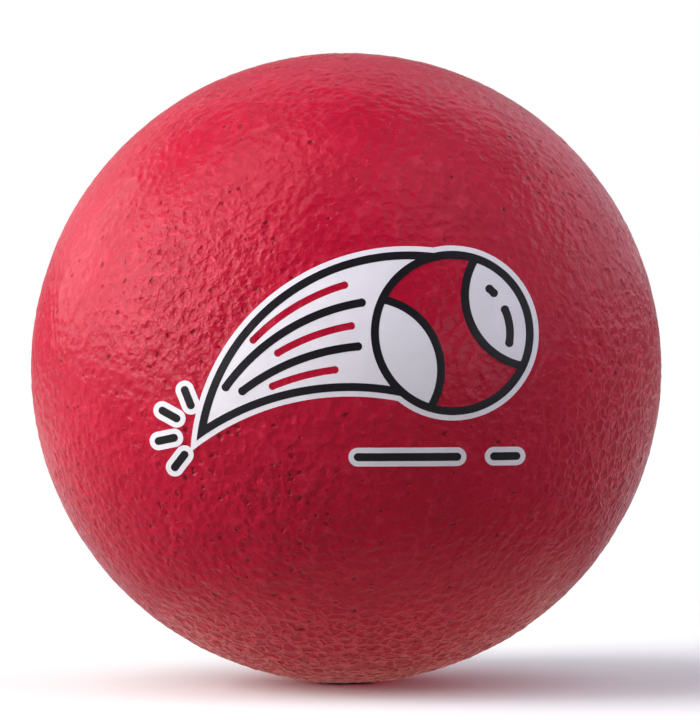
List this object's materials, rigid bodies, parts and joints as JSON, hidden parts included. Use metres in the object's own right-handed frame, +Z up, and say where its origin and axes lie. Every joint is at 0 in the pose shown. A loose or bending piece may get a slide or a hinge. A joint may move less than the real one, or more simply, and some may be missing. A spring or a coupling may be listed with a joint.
{
  "type": "dodgeball",
  "caption": "Soft round throwing ball: a moulded foam core sealed in a seamless tough skin with a fine pebbled surface, with a small two-colour print on its front.",
  "frame": {"origin": "centre of the ball", "axes": "+Z up, -Y towards the middle of the print, +X to the right of someone who looks at the print"},
  "size_m": [0.1524, 0.1525, 0.1524],
  "materials": {
    "foam": "soft fine-celled foam",
    "skin": "satin, finely pebbled",
    "white_ink": "satin ink",
    "black_ink": "satin ink"
  },
  "bodies": {
    "root": {"foam_core": "foam", "skin": "skin", "white_print": "white_ink", "black_print": "black_ink"}
  },
  "joints": []
}
